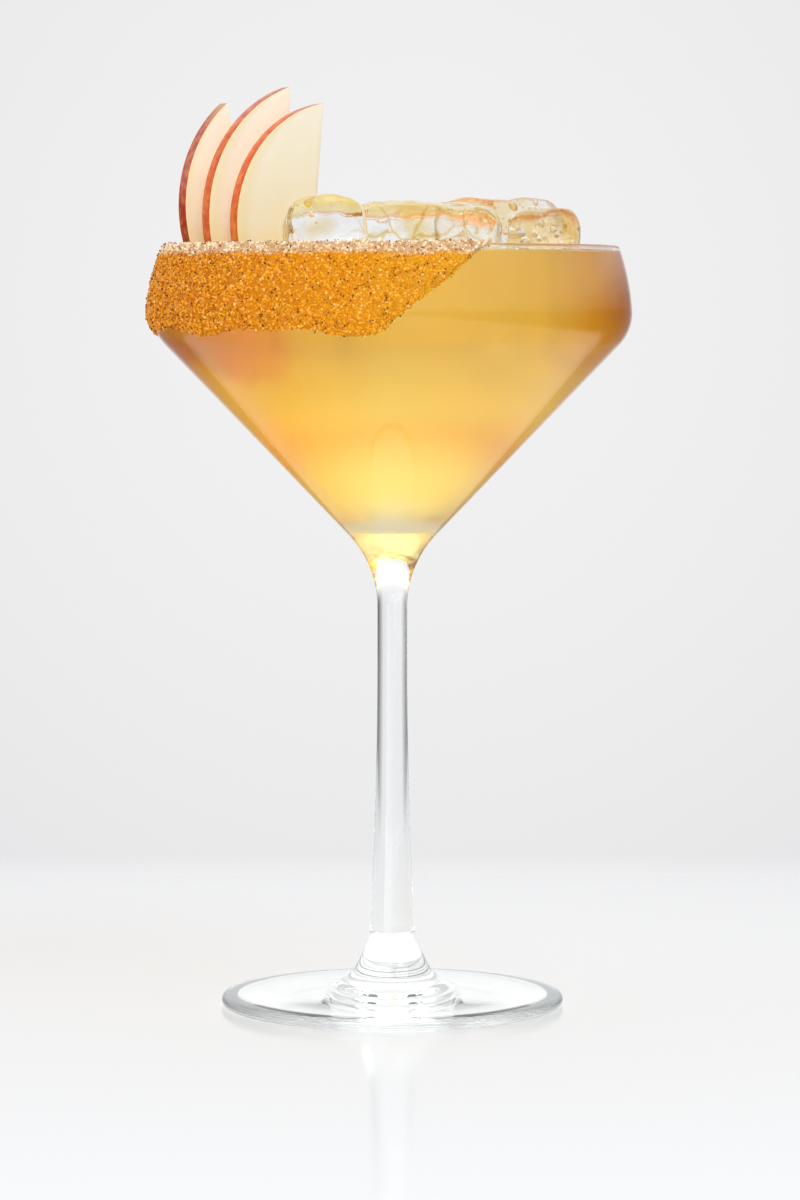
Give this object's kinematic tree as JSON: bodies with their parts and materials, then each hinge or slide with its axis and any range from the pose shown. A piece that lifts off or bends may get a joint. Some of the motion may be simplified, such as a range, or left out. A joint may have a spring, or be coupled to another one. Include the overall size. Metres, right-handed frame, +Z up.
{
  "type": "spiced rum cocktail",
  "caption": "Stemmed cocktail glass filled to the brim with an amber drink, with ice blocks, fanned apple slices and a half rim of cinnamon sugar.",
  "frame": {"origin": "centre of the foot's underside, on the surface that the glass stands on", "axes": "+Z up along the stem; the front of the drink, with the apple slices at its left, faces -Y"},
  "size_m": [0.1117, 0.1117, 0.2107],
  "materials": {
    "clear_glass": "clear polished",
    "amber_drink": "clear liquid",
    "ice": "wet, partly clouded",
    "apple": "moist flesh with a red skin edge",
    "cinnamon_sugar": "coarse grains"
  },
  "bodies": {
    "root": {"glass": "clear_glass", "drink": "amber_drink", "ice_left": "ice", "ice_middle": "ice", "ice_right": "ice", "ice_back": "ice", "apple_slice_1": "apple", "apple_slice_2": "apple", "apple_slice_3": "apple", "sugar_crust": "cinnamon_sugar"}
  },
  "joints": []
}
